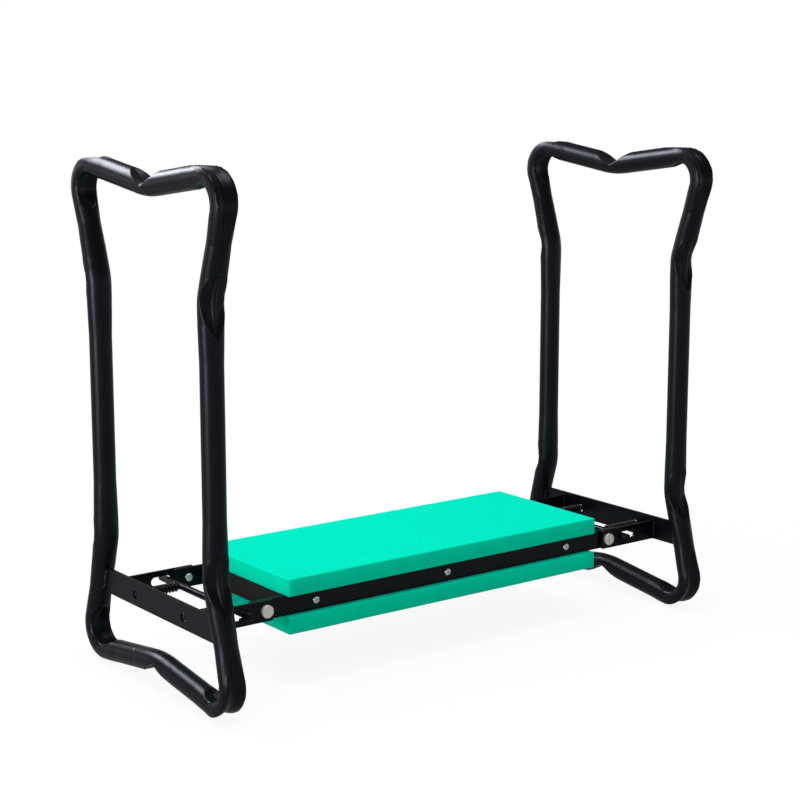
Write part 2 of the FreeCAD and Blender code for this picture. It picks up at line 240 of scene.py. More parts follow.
class Finishes(PropertyGroup):
    """Colours of the stool's materials."""

    coat: colour("Coat", "Powder coat on the steel", "#09090F")
    wire: colour("Wire", "Blackened spring wire", "#17181B")
    zinc: colour("Zinc", "Zinc plate on the pivots", "#FBFAF4")
    screw: colour("Screw", "Bright plate on the screws", "#E6E7EA")
    plastic: colour("Plastic", "Moulded core", "#131214")
    nylon: colour("Nylon", "Spacer washers", "#161616")
    foam: colour("Foam", "Foam pads", "#06F2CC")
    # The cut sides get a darker green than the skin: painted shade on the upright sides.
    shaded_foam_side: colour("Foam side", "Cut sides of the foam pads", "#04D8AE")


class StoolSettings(PropertyGroup):
    """Everything that a user would change."""

    loop: PointerProperty(type=LoopSizes)
    steel: PointerProperty(type=SteelSizes)
    pad: PointerProperty(type=FoamSizes)
    finish: PointerProperty(type=Finishes)


def settings():
    """The scene's stool settings."""
    return bpy.context.scene.garden_stool


def add_node(tree, kind, values=None, links=None):
    """Adds a node, sets its properties or sockets by name, and links sources into it."""
    node = tree.nodes.new(kind)
    for name, value in (values or {}).items():
        if isinstance(name, str) and hasattr(node, name):
            setattr(node, name, value)
        else:
            node.inputs[name].default_value = value
    for name, source in (links or {}).items():
        tree.links.new(source, node.inputs[name])
    return node


def new_material(name):
    """Empty node material; returns it with its tree and Object coordinates."""
    material = bpy.data.materials.new(name)
    material.use_nodes = True
    tree = material.node_tree
    tree.nodes.clear()
    place = add_node(tree, "ShaderNodeTexCoord").outputs["Object"]
    return material, tree, place


def per_metre(size):
    """Texture scale at which one cell of a pattern has a size in metres."""
    return 1 / size


def finish_material(tree, values, links):
    """Ends a material's tree in a Principled shader."""
    shader = add_node(tree, "ShaderNodeBsdfPrincipled", values, links)
    add_node(tree, "ShaderNodeOutputMaterial", links={"Surface": shader.outputs["BSDF"]})


def opaque(tone):
    """Colour with full alpha."""
    return (*tone, 1)


def powder_coated_steel():
    """Powder-coated steel: satin, with the faint orange peel of baked powder."""
    material, tree, place = new_material("powder_coated_steel")
    peel = add_node(
        tree, "ShaderNodeTexNoise", {"Scale": per_metre(2.4 * MM), "Detail": 2.0}, {"Vector": place}
    )
    cloud = add_node(
        tree, "ShaderNodeTexNoise", {"Scale": per_metre(45 * MM), "Detail": 3.0}, {"Vector": place}
    )
    gloss = add_node(
        tree, "ShaderNodeMapRange", {"To Min": 0.3, "To Max": 0.36}, {"Value": cloud.outputs["Fac"]}
    )
    bump = add_node(
        tree, "ShaderNodeBump", {"Strength": 0.015, "Distance": 0.1 * MM}, {"Height": peel.outputs["Fac"]}
    )
    finish_material(
        tree,
        {
            "Base Color": opaque(settings().finish.coat), "IOR": 1.5, "Specular IOR Level": 0.2,
            "Specular Tint": (0.84, 0.86, 1, 1),
        },
        {"Roughness": gloss.outputs["Result"], "Normal": bump.outputs["Normal"]},
    )
    return material


def blackened_spring_wire():
    """Blackened spring steel: dark and a little metallic, drawn smooth."""
    material, tree, place = new_material("blackened_spring_wire")
    grain = add_node(
        tree, "ShaderNodeTexNoise", {"Scale": per_metre(1.5 * MM), "Detail": 2.0}, {"Vector": place}
    )
    gloss = add_node(
        tree, "ShaderNodeMapRange", {"To Min": 0.28, "To Max": 0.45}, {"Value": grain.outputs["Fac"]}
    )
    finish_material(
        tree,
        {"Base Color": opaque(settings().finish.wire), "Metallic": 0.3},
        {"Roughness": gloss.outputs["Result"]},
    )
    return material


def plated_steel(name, tone, rough, grit):
    """Plated steel: a bright metal whose gloss varies with the fine grain of the plate."""
    material, tree, place = new_material(name)
    grain = add_node(
        tree, "ShaderNodeTexNoise", {"Scale": per_metre(grit), "Detail": 4.0}, {"Vector": place}
    )
    gloss = add_node(
        tree, "ShaderNodeMapRange", {"To Min": rough * 0.7, "To Max": rough * 1.4},
        {"Value": grain.outputs["Fac"]},
    )
    bump = add_node(
        tree, "ShaderNodeBump", {"Strength": 0.15, "Distance": 0.05 * MM}, {"Height": grain.outputs["Fac"]}
    )
    finish_material(
        tree,
        {"Base Color": opaque(tone), "Metallic": 1.0},
        {"Roughness": gloss.outputs["Result"], "Normal": bump.outputs["Normal"]},
    )
    return material


def moulded_plastic(name, tone, rough):
    """Moulded polypropylene or nylon: dull, with the fine grain of a spark-eroded mould."""
    material, tree, place = new_material(name)
    grain = add_node(
        tree, "ShaderNodeTexNoise", {"Scale": per_metre(0.9 * MM), "Detail": 3.0}, {"Vector": place}
    )
    drawn = add_node(tree, "ShaderNodeMapping", {"Scale": (1, 1, 0.08)}, {"Vector": place})
    flow = add_node(
        tree, "ShaderNodeTexNoise", {"Scale": per_metre(9 * MM), "Detail": 2.0},
        {"Vector": drawn.outputs["Vector"]},
    )
    shade = add_node(
        tree, "ShaderNodeMix",
        {"data_type": "RGBA", "A": opaque(tone), "B": opaque([c * 1.9 for c in tone])},
        {"Factor": flow.outputs["Fac"]},
    )
    bump = add_node(
        tree, "ShaderNodeBump", {"Strength": 0.2, "Distance": 0.06 * MM}, {"Height": grain.outputs["Fac"]}
    )
    finish_material(
        tree, {"Roughness": rough, "IOR": 1.49, "Specular IOR Level": 0.2},
        {"Base Color": shade.outputs[2], "Normal": bump.outputs["Normal"]},
    )
    return material


def embossed_foam():
    """Closed-cell EVA foam with its embossed skin: matt, fine crossing lines pressed into it, with painted
    shade in their grooves.
    """
    material, tree, place = new_material("embossed_eva_foam")
    # The real lines are about 2 mm apart; they are drawn wider so that they show in the render.
    pitch = settings().pad.emboss_pitch
    heights = []
    for turn in (EMBOSS_TURN, -EMBOSS_TURN):
        turned = add_node(tree, "ShaderNodeMapping", {"Rotation": (0, 0, turn)}, {"Vector": place})
        lines = add_node(
            tree, "ShaderNodeTexWave", {"wave_profile": "SIN", "Scale": WAVE_CYCLE / pitch},
            {"Vector": turned.outputs["Vector"]},
        )
        heights.append(lines.outputs["Fac"])
    weave = add_node(tree, "ShaderNodeMath", {"operation": "MULTIPLY"}, {0: heights[0], 1: heights[1]})
    cloud = add_node(
        tree, "ShaderNodeTexNoise", {"Scale": per_metre(60 * MM), "Detail": 3.0}, {"Vector": place}
    )
    tone = settings().finish.foam
    # The embossed lines are coloured darker where they sink: painted shade in their grooves, on top of the
    # bump.
    shade = add_node(
        tree, "ShaderNodeMix",
        {"data_type": "RGBA", "A": opaque([c * 0.86 for c in tone]), "B": opaque(tone)},
        {"Factor": weave.outputs["Value"]},
    )
    drift = add_node(
        tree, "ShaderNodeMix",
        {"data_type": "RGBA", "blend_type": "MULTIPLY", "Factor": 0.06},
        {"A": shade.outputs[2], "B": cloud.outputs["Color"]},
    )
    bump = add_node(
        tree, "ShaderNodeBump", {"Strength": 0.35, "Distance": 0.25 * MM}, {"Height": weave.outputs["Value"]}
    )
    finish_material(
        tree, {"Roughness": 0.85, "IOR": 1.48, "Specular IOR Level": 0.0},
        {"Base Color": drift.outputs[2], "Normal": bump.outputs["Normal"]},
    )
    return material


def cut_and_shaded_foam():
    """Closed-cell EVA foam where it was cut: open pores, duller than the skin, and a darker green that is
    painted shade on the upright sides.
    """
    material, tree, place = new_material("cut_and_shaded_eva_foam")
    pores = add_node(tree, "ShaderNodeTexVoronoi", {"Scale": per_metre(1.6 * MM)}, {"Vector": place})
    cloud = add_node(
        tree, "ShaderNodeTexNoise", {"Scale": per_metre(14 * MM), "Detail": 4.0}, {"Vector": place}
    )
    # This darker side colour is painted shade; the cloud below is the foam's own uneven tone.
    tone = settings().finish.shaded_foam_side
    shade = add_node(
        tree, "ShaderNodeMix",
        {
            "data_type": "RGBA",
            "A": opaque([c * 0.9 for c in tone]),
            "B": opaque([min(c * 1.06, 1) for c in tone]),
        },
        {"Factor": cloud.outputs["Fac"]},
    )
    bump = add_node(
        tree, "ShaderNodeBump", {"Strength": 0.2, "Distance": 0.15 * MM},
        {"Height": pores.outputs["Distance"]},
    )
    finish_material(
        tree, {"Roughness": 0.9, "IOR": 1.48, "Specular IOR Level": 0.0},
        {"Base Color": shade.outputs[2], "Normal": bump.outputs["Normal"]},
    )
    return material


MAKERS = {
    "black_coat": powder_coated_steel,
    "spring_wire": blackened_spring_wire,
    "zinc": lambda: plated_steel("zinc_plated_steel", settings().finish.zinc, 0.5, 0.8 * MM),
    "bright_screw": lambda: plated_steel("bright_plated_steel", settings().finish.screw, 0.16, 0.6 * MM),
    "core_plastic": lambda: moulded_plastic("moulded_polypropylene", settings().finish.plastic, 0.6),
    "black_nylon": lambda: moulded_plastic("moulded_nylon", settings().finish.nylon, 0.5),
    "green_foam": embossed_foam,
    "cut_and_shaded_foam": cut_and_shaded_foam,
}
made = {}


def material_for(slot):
    """The material of a slot, made once."""
    if slot not in made:
        made[slot] = MAKERS[slot]()
    return made[slot]


def finished(bm, name, body, slot, nodes=(), crease=40):
    """Makes a piece of a bmesh, in place, riding on its body and standing for its nodes."""
    bmesh.ops.recalc_face_normals(bm, faces=bm.faces)
    mesh = bpy.data.meshes.new(name)
    bm.to_mesh(mesh)
    bm.free()
    mesh.shade_smooth()
    mesh.set_sharp_from_angle(angle=math.radians(crease))
    mesh.materials.append(material_for(slot))
    piece = bpy.data.objects.new(name, mesh)
    bpy.context.scene.collection.objects.link(piece)
    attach(piece, body)
    if nodes:
        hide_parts(*nodes)
    return piece


def rolled_tube(bm, frames, segments, radius_at):
    """Grid rolled into a tube along a row of frames whose Z axes run along it.

    radius_at gives how far a point lies from the middle, by its frame's number and its direction.
    """
    last = len(frames) - 1
    grid = bmesh.ops.create_grid(bm, x_segments=last, y_segments=segments, size=1)["verts"]
    turns = [frame.to_3x3() for frame in frames]
    for vert in grid:
        i = round((vert.co.x + 1) / 2 * last)
        around = (vert.co.y + 1) * math.pi
        direction = turns[i] @ Vector((math.cos(around), math.sin(around), 0))
        vert.co = frames[i].translation + direction * radius_at(i, direction)
    bmesh.ops.remove_doubles(bm, verts=grid, dist=0.01 * MM)


def close_ends(bm):
    """Fills the open ends of a tube."""
    bmesh.ops.holes_fill(bm, edges=[e for e in bm.edges if e.is_boundary])


def frames_along(points):
    """Frames at points of a path, each turned as little as possible from the one before."""
    heading = (points[1] - points[0]).normalized()
    turn = Vector((0, 0, 1)).rotation_difference(heading).to_matrix()
    frames = [Matrix.Translation(points[0]) @ turn.to_4x4()]
    for i in range(1, len(points)):
        ahead = points[min(i + 1, len(points) - 1)] - points[i - 1]
        step = heading.rotation_difference(ahead.normalized()).to_matrix()
        heading = ahead.normalized()
        turn = step @ turn
        frames.append(Matrix.Translation(points[i]) @ turn.to_4x4())
    return frames


class Wheel:
    """Round-nosed wheel, standing in the loop's plane, that has pressed a dent."""

    def __init__(self, centre, radius, nose):
        self.centre = centre
        self.core = radius - nose
        self.nose = nose

    def distance(self, point):
        """Distance of a point from the wheel, below 0 inside it."""
        offset = point - self.centre
        out = math.hypot(offset.y, offset.z) - self.core
        return math.hypot(max(out, 0.0), offset.x) - self.nose


class Bend:
    """One bend of a loop's centre line in the plane x = 0."""

    def __init__(self, kind, corner, before, after, radius):
        self.kind = kind
        back = (before - corner).normalized()
        ahead = (after - corner).normalized()
        half_turn = (math.pi - back.angle(ahead)) / 2
        reach = radius * math.tan(half_turn)
        self.inward = (back + ahead).normalized()
        self.start = corner + back * reach
        self.end = corner + ahead * reach
        self.centre = corner + self.inward * (radius / math.cos(half_turn))
        self.middle = self.centre - self.inward * radius
        self.heading = -back
        self.turn = math.copysign(2 * half_turn, self.heading.cross(ahead).x)
        self.length = radius * 2 * half_turn

    def wheel(self, sizes):
        """The wheel that has pressed in a corner's inner side."""
        out = TUBE_RADIUS + sizes.corner_die - sizes.corner_dent
        return Wheel(self.middle + self.inward * out, sizes.corner_die, sizes.corner_nose)


def tangent_point(centre, radius, point, turn):
    """Where a line from a point touches a circle; turn picks one of the two."""
    offset = point - centre
    where = math.atan2(offset.z, offset.y) + turn * math.acos(radius / offset.length)
    return centre + Vector((0, math.cos(where), math.sin(where))) * radius


def loop_bends():
    """The ten bends of a loop, round from the middle of its upper bar towards the rear."""
    sizes = settings().loop
    middle = (TUBE_HIGH.z + TUBE_LOW.z) / 2
    half_height = (TUBE_HIGH.z - TUBE_LOW.z) / 2
    inset = Vector((0, sizes.side_inset + sizes.corner_bend, sizes.end_inset + sizes.corner_bend))
    centre = Vector((0, TUBE_HIGH.y, half_height)) - inset
    dip = Vector((0, 0, half_height - TUBE_RADIUS - sizes.bar_dip))
    halves = []
    for kink_place in (sizes.upper_kink, sizes.lower_kink):
        kink = Vector((0, sizes.upright_spacing / 2, half_height - kink_place))
        top = tangent_point(centre, sizes.corner_bend, dip, -1)
        side = tangent_point(centre, sizes.corner_bend, kink, 1)
        chord = (top + side) / 2 - centre
        corner = centre + chord * (sizes.corner_bend**2 / chord.length_squared)
        halves.append([(dip, "bar"), (corner, "corner"), (kink, "kink")])
    upper, lower = halves
    rear = upper + [(Vector((0, p.y, -p.z)), kind) for p, kind in reversed(lower)]
    whole = rear + [(Vector((0, -p.y, p.z)), kind) for p, kind in reversed(rear[1:-1])]
    points = [p + Vector((0, 0, middle)) for p, kind in whole]
    bends = []
    for i, (p, kind) in enumerate(whole):
        radius = {"bar": sizes.bar_bend, "corner": sizes.corner_bend, "kink": sizes.kink_bend}[kind]
        bends.append(Bend(kind, points[i], points[i - 1], points[(i + 1) % len(points)], radius))
    return bends


class Station:
    """A place on a loop's centre line: its frame, and how far along the loop it is."""

    def __init__(self, centre, heading, along):
        self.centre = centre
        self.along = along
        side = heading.cross(ACROSS)
        self.side = side
        self.matrix = Matrix.Translation(centre) @ Matrix((ACROSS, side, heading)).transposed().to_4x4()


def ring_places(run, fine):
    """Distances of the rings along a straight run: close together near both ends, far apart between."""
    sizes = settings().loop
    places = []
    place = 0.0
    while place < run - sizes.step / 2:
        places.append(place)
        if place < fine or place > run - fine - sizes.step:
            place += sizes.step
        else:
            place = min(place + sizes.plain_step, run - fine)
    return places


def loop_stations(bends):
    """Stations round the loop, and the place of each bend's middle along it."""
    sizes = settings().loop
    stations = []
    middles = []
    along = 0.0
    for bend, after in zip(bends, bends[1:] + bends[:1]):
        spoke = bend.start - bend.centre
        count = math.ceil(bend.length / sizes.step)
        middles.append(along + bend.length / 2)
        for i in range(count):
            turned = Matrix.Rotation(bend.turn * i / count, 3, "X")
            place = bend.centre + turned @ spoke
            stations.append(Station(place, turned @ bend.heading, along + bend.length * i / count))
        along += bend.length
        run = after.start - bend.end
        heading = run.normalized()
        for place in ring_places(run.length, sizes.pressed_reach - bend.length / 2):
            stations.append(Station(bend.end + heading * place, heading, along + place))
        along += run.length
    return stations, middles, along


def soft_least(a, b, soft):
    """The smaller of two distances, rounded over where they cross."""
    near = max(soft - abs(a - b), 0.0) / soft
    return min(a, b) - near * near * soft / 4


def pressed_radius(centre, direction, wheel, rim):
    """Radius of the tube's skin in one direction after a wheel has pressed it, its rim rounded."""
    if wheel.distance(centre + direction * TUBE_RADIUS) > rim:
        return TUBE_RADIUS
    low, high = 0.0, TUBE_RADIUS
    for _ in range(BISECTIONS):
        radius = (low + high) / 2
        if soft_least(wheel.distance(centre + direction * radius), TUBE_RADIUS - radius, rim) > 0:
            low = radius
        else:
            high = radius
    return (low + high) / 2


def kink_depth(low, around, sizes):
    """Depth of the dent inside a kink: a leaf, blunt above and pointed below, with a ridge and a lip."""
    if low < 0:
        edge = math.sqrt(max(1 - (low / sizes.kink_above) ** 2, 0.0))
    else:
        edge = max(1 - (low / sizes.kink_below) ** KINK_POINT, 0.0)
    if edge < LEAF_END:
        return 0.0
    across = abs(around) / (sizes.kink_spread * edge)
    if across > 1:
        return -sizes.kink_lip * edge * max(1 - (across - 1) / KINK_LIP_WIDTH, 0.0)
    ridge = sizes.kink_ridge * math.exp(-((across / KINK_RIDGE_WIDTH) ** 2))
    hollow = (1 - across**KINK_HOLLOW) * (1 - ridge)
    return (sizes.kink_dent + sizes.kink_lip) * math.sqrt(edge) * hollow - sizes.kink_lip * edge


def bar_depth(away, around, sizes):
    """Depth of the dent in a bar: a leaf that is widest at the fold in its middle."""
    along = abs(away) / sizes.bar_reach
    if along > 1 - LEAF_END:
        return 0.0
    across = abs(around) / (sizes.bar_spread * (1 - along) ** BAR_POINT)
    return sizes.bar_dent * (1 - along**2) * max(1 - across**BAR_HOLLOW, 0.0)


def crease_depth(away, around, sizes):
    """Depth of the crease along a corner's outer side: a leaf, pointed at both ends, with a lip."""
    edge = 1 - (away / sizes.crease_reach) ** 2
    if edge < LEAF_END:
        return 0.0
    across = (math.pi - abs(around)) / (sizes.crease_spread * edge)
    if across > 1:
        return -sizes.crease_lip * edge * max(1 - (across - 1) / CREASE_LIP_WIDTH, 0.0)
    hollow = (sizes.crease_depth + sizes.crease_lip) * (1 - across**CREASE_HOLLOW)
    return (hollow - sizes.crease_lip) * edge


def wrinkles(point, away, around, sizes):
    """Height of the small wrinkles on the flanks beside a corner's inner dent."""
    along = max(1 - ((abs(away) - sizes.corner_die) / sizes.corner_die) ** 2, 0.0)
    across = max(1 - ((abs(around) - WRINKLE_PLACE) / WRINKLE_WIDTH) ** 2, 0.0)
    return noise.noise(point / sizes.wrinkle_size) * sizes.wrinkle * along * across


def dints(point, away, sizes):
    """Small dints where the tube was pressed, fading out along it."""
    fade = max(1 - (away / (sizes.pressed_reach * DINT_REACH)) ** 2, 0.0)
    return noise.noise(point / sizes.dint_size) * sizes.dint * fade


def crushed_loop(bm):
    """Tube loop with the dents that its bends were pressed with."""
    bends = loop_bends()
    stations, middles, total = loop_stations(bends)
    sizes = settings().loop
    wheels = {id(bend): bend.wheel(sizes) for bend in bends if bend.kind == "corner"}
    for station in stations:
        gaps = [((station.along - m + total / 2) % total) - total / 2 for m in middles]
        nearest = min(range(len(bends)), key=lambda i: abs(gaps[i]))
        station.bend = bends[nearest]
        station.away = gaps[nearest]
        station.low = math.copysign(station.away, bends[nearest].middle.z - station.centre.z)
        station.inner = station.side * math.copysign(1, station.side.dot(station.bend.inward))
        on_seam = max(1 - abs(station.centre.y - sizes.seam_from_middle) / sizes.seam_width, 0.0)
        station.groove = on_seam * sizes.seam_depth if station.centre.z < sizes.crease_reach else 0.0

    def crushed_radius(i, direction):
        station = stations[i % len(stations)]
        bend, away = station.bend, station.away
        if abs(away) > sizes.pressed_reach:
            return TUBE_RADIUS
        inner = direction.dot(station.inner)
        around = math.atan2(direction.x, inner)
        flank = 1 - inner * inner
        skin = station.centre + direction * TUBE_RADIUS
        if bend.kind == "corner":
            radius = pressed_radius(station.centre, direction, wheels[id(bend)], sizes.rim)
            radius -= crease_depth(away, around, sizes)
            radius += sizes.corner_swell * flank * max(1 - (away / sizes.crease_reach) ** 2, 0.0)
            radius += wrinkles(skin, away, around, sizes)
        elif bend.kind == "kink":
            radius = TUBE_RADIUS - kink_depth(station.low, around, sizes)
            radius += sizes.kink_swell * flank * max(1 - (away / sizes.kink_bend) ** 2, 0.0)
        else:
            radius = TUBE_RADIUS - bar_depth(away, around, sizes)
        return radius + dints(skin, away, sizes) - station.groove

    frames = [s.matrix for s in stations]
    rolled_tube(bm, frames + frames[:1], sizes.segments, crushed_radius)


def build_loops():
    """The two tube loops."""
    bm = bmesh.new()
    crushed_loop(bm)
    for side in SIDES:
        node = side + "_frame_tube"
        low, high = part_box(node)
        loop = bm.copy()
        bmesh.ops.translate(loop, verts=loop.verts, vec=ACROSS * ((low.x + high.x) / 2))
        finished(loop, side + "_loop", side + "_frame", "black_coat", [node], crease=60)
    bm.free()


def eased_copy(node, name, body, slot, edge):
    """Copy of a frame node with its triangles merged to faces and its edges rounded."""
    bm = bmesh.new()
    bm.from_mesh(frame["nodes"][node].data)
    bmesh.ops.remove_doubles(bm, verts=bm.verts, dist=SAME_PLACE)
    bmesh.ops.dissolve_limit(bm, angle_limit=math.radians(0.5), verts=bm.verts, edges=bm.edges)
    piece = finished(bm, name, body, slot, [node], crease=30)
    bevel = piece.modifiers.new("eased_edges", "BEVEL")
    bevel.width = edge
    bevel.segments = 3
    bevel.limit_method = "ANGLE"
    bevel.angle_limit = math.radians(50)
    bevel.harden_normals = True
    return piece


def build_flat_steel():
    """Cross plates, arms and rails, cut from flat bar."""
    edge = settings().steel.flat_edge
    for end in ENDS:
        eased_copy(end + "_rail", end + "_seat_rail", "seat", "black_coat", edge)
    for side in SIDES:
        body = side + "_frame"
        eased_copy(side + "_cross_plate", side + "_plate", body, "black_coat", edge)
        for end in ENDS:
            node = f"{side}_{end}_arm"
            eased_copy(node, node + "_flat", body, "black_coat", edge)


def weld_bead(bm, foot, top):
    """Rippled bead between two points."""
    sizes = settings().steel
    size, height, pitch = sizes.weld_radius, sizes.weld_ripple, sizes.weld_pitch
    run = top - foot
    count = math.ceil(run.length / (pitch / RINGS_PER_RIPPLE))
    points = [foot + run * (i / count) for i in range(count + 1)]

    def bead_radius(i, direction):
        away = run.length * i / count
        end = min(away, run.length - away) / size
        taper = math.sqrt(1 - (1 - min(end, 1.0)) ** 2) * (1 - WELD_BLUNT) + WELD_BLUNT
        ripple = abs(math.sin(math.pi * away / pitch)) * height
        lump = noise.noise((points[i] + direction * size) / WELD_LUMP) * height
        return taper * (size * WELD_CORE + ripple + lump)

    rolled_tube(bm, frames_along(points), WELD_SIDES, bead_radius)


def flank_at(bends, z):
    """Inner flank of the rear upright's lower, flared part at a height, as a value of y."""
    runs = [(b.end, a.start) for b, a in zip(bends, bends[1:] + bends[:1])]
    low_rear = [r for r in runs if all(p.y > 0 and p.z < settings().loop.lower_kink for p in r)]
    flare = max(low_rear, key=lambda r: abs(r[0].z - r[1].z))
    low, high = sorted(flare, key=lambda p: p.z)
    along = (high - low).normalized()
    return low.y + along.y * (z - low.z) / along.z - TUBE_RADIUS / along.z


def build_welds():
    """Weld beads between plate, uprights and arms."""
    bends = loop_bends()
    for side in SIDES:
        bm = bmesh.new()
        plate_low, plate_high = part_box(side + "_cross_plate")
        inset = settings().steel.weld_radius * WELD_INSET
        for y_sign in (-1, 1):
            for x in (plate_low.x, plate_high.x):
                ends = [
                    Vector((x, y_sign * flank_at(bends, z), z))
                    for z in (plate_low.z + inset, plate_high.z - inset)
                ]
                weld_bead(bm, *ends)
            arm_low, arm_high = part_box(f"{side}_{'front' if y_sign < 0 else 'rear'}_arm")
            plate_face = plate_high.x if side == "left" else plate_low.x
            for y in (arm_low.y, arm_high.y):
                foot = Vector((plate_face, y, arm_low.z + inset))
                top = Vector((plate_face, y, arm_high.z - inset))
                weld_bead(bm, foot, top)
        close_ends(bm)
        finished(bm, side + "_welds", side + "_frame", "black_coat", [side + "_weld_beads"], crease=80)


def rounded_rim(radius, depth, rounding, inward):
    """Quarter round at a rim, as points of radius and depth, in the order that a profile runs in."""
    turns = [math.pi / 2 * i / RIM_STEPS for i in range(RIM_STEPS + 1)]
    points = [
        (radius - rounding * (1 - math.sin(t)), depth + inward * rounding * (1 - math.cos(t))) for t in turns
    ]
    return points if inward > 0 else points[::-1]


def pivot_profile(head_radius, run):
    """Half section of a pivot pin from its head's face to its tail, as radius and depth."""
    sizes = settings().steel
    mark = sizes.head_mark
    dimple = [(0, mark), (sizes.head_dimple * 0.6, mark * 0.8), (sizes.head_dimple, 0)]
    groove = ((-1, 0), (-0.4, 1), (0.4, 1), (1, 0))
    ring = [(sizes.head_ring + mark * across, mark * deep) for across, deep in groove]
    head = rounded_rim(head_radius, 0, sizes.head_rounding, 1) + [(head_radius, sizes.head_height)]
    shank = [(sizes.shank_radius, sizes.head_height), (sizes.shank_radius, run - sizes.tail_height)]
    tail = [(sizes.tail_radius, run - sizes.tail_height)]
    tail += rounded_rim(sizes.tail_radius, run, sizes.tail_height * 0.6, -1)
    return dimple + ring + head + shank + tail + [(0, run)]


def build_pivots():
    """Pivot pins and their spacer washers."""
    sizes = settings().steel
    for side in SIDES:
        for end in ENDS:
            node = f"{side}_{end}_pivot"
            low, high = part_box(node)
            middle = (low + high) / 2
            face, inward = (low.y, 1) if end == "front" else (high.y, -1)
            bm = bmesh.new()
            points = [
                bm.verts.new((middle.x, face + inward * depth, middle.z + radius))
                for radius, depth in pivot_profile((high.x - low.x) / 2, high.y - low.y)
            ]
            edges = [bm.edges.new(pair) for pair in zip(points, points[1:])]
            bmesh.ops.spin(
                bm, geom=points + edges, cent=middle, axis=(0, 1, 0), angle=2 * math.pi, steps=PIN_STEPS,
                use_merge=True,
            )
            bmesh.ops.remove_doubles(bm, verts=bm.verts, dist=SAME_PLACE)
            finished(bm, node + "_pin", "seat", "zinc", [node])
            node = f"{side}_{end}_washer"
            eased_copy(node, node + "_spacer", "seat", "black_nylon", sizes.small_edge)


def swept_wire(points, diameter):
    """Round wire through points, closed at both ends."""
    bm = bmesh.new()
    rolled_tube(bm, frames_along(points), WIRE_SIDES, lambda i, direction: diameter / 2)
    close_ends(bm)
    return bm


def build_latches():
    """Lock rods with their guide pins, and the springs round those."""
    sizes = settings().steel
    wire = sizes.spring_wire
    coil_radius = (sizes.spring_diameter - wire) / 2
    for side in SIDES:
        out = -1 if side == "left" else 1
        eased_copy(side + "_lock_rod", side + "_rod", side + "_latch", "black_coat", sizes.small_edge)
        rod_low, rod_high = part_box(side + "_lock_rod")
        rod_z = (rod_low.z + rod_high.z) / 2
        rod_far = rod_high.x if side == "left" else rod_low.x
        plate_low, plate_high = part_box(side + "_cross_plate")
        plate_x = plate_high.x if side == "left" else plate_low.x
        coil_start = rod_far + out * (rod_high.z - rod_low.z + wire / 2)
        coil_end = plate_x - out * wire / 2
        for end in ENDS:
            node = f"{side}_{end}_spring"
            low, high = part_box(node)
            y = (low.y + high.y) / 2
            steps = STEPS_PER_COIL * sizes.spring_coils
            coil = []
            for i in range(steps + 1):
                turn = 2 * math.pi * sizes.spring_coils * i / steps
                x = coil_start + (coil_end - coil_start) * i / steps
                aside, up = coil_radius * math.sin(turn), coil_radius * math.cos(turn)
                coil.append(Vector((x, y + aside, rod_z + up)))
            spring = finished(swept_wire(coil, wire), node + "_coil", side + "_frame", "spring_wire", [node])
            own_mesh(spring)


def build_core():
    """Moulded core between the rails."""
    eased_copy("seat_core", "moulded_core", "seat", "core_plastic", settings().steel.flat_edge)


def build_screws():
    """Cross-recessed screws that hold the rails to the core."""
    for end in ENDS:
        node = end + "_rail_screws"
        eased_copy(node, node + "_heads", "seat", "bright_screw", settings().steel.small_edge * 0.5)


def foam_slab(node, name):
    """Foam pad: a slab with slightly uneven cut sides and rounded edges."""
    sizes = settings().pad
    low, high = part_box(node)
    middle = (low + high) / 2
    bm = bmesh.new()
    place = Matrix.Translation(middle) @ Matrix.Diagonal((*(high - low), 1))
    bmesh.ops.create_cube(bm, size=1, matrix=place)
    bmesh.ops.bevel(
        bm, geom=bm.edges, offset=sizes.edge, offset_type="OFFSET", segments=3, profile=0.5,
        affect="EDGES", material=-1,
    )
    for axis, count in PAD_CUTS:
        across = Vector((0, 0, 0))
        across[axis] = 1
        for i in range(1, count):
            cut = low + across * ((high[axis] - low[axis]) * i / count)
            whole = bm.verts[:] + bm.edges[:] + bm.faces[:]
            bmesh.ops.bisect_plane(bm, geom=whole, plane_co=cut, plane_no=across)
    for vert in bm.verts:
        wander = noise.noise_vector(vert.co / WANDER_SIZE) * sizes.unevenness
        vert.co += Vector((wander.x, wander.y, wander.z * 0.5))
    bm.normal_update()
    pad = finished(bm, name, "seat", "green_foam", [node], crease=50)
    # Faces that point up or down take the skin; the sides take the cut foam, whose darker green is painted
    # shade.
    pad.data.materials.append(material_for("cut_and_shaded_foam"))
    for face in pad.data.polygons:
        face.material_index = 0 if abs(face.normal.z) > SKIN_SLOPE else 1


def build_pads():
    """Upper and lower foam pad."""
    noise.seed_set(WANDER_SEED)
    for end in ("upper", "lower"):
        foam_slab(end + "_pad", end + "_foam")


def build_stage():
    """Floor, soft light, white surroundings and the photograph's camera."""
    scene = bpy.context.scene
    scene.view_settings.view_transform = "Standard"

    bm = bmesh.new()
    bmesh.ops.create_circle(bm, cap_ends=True, segments=FLOOR_SEGMENTS, radius=FLOOR_RADIUS)
    mesh = bpy.data.meshes.new("studio_floor")
    bm.to_mesh(mesh)
    bm.free()
    floor = bpy.data.objects.new("studio_floor", mesh)
    scene.collection.objects.link(floor)
    mesh.materials.append(studio_floor())

    studio_surroundings(scene)
    studio_lamps()
    photo_camera(scene)


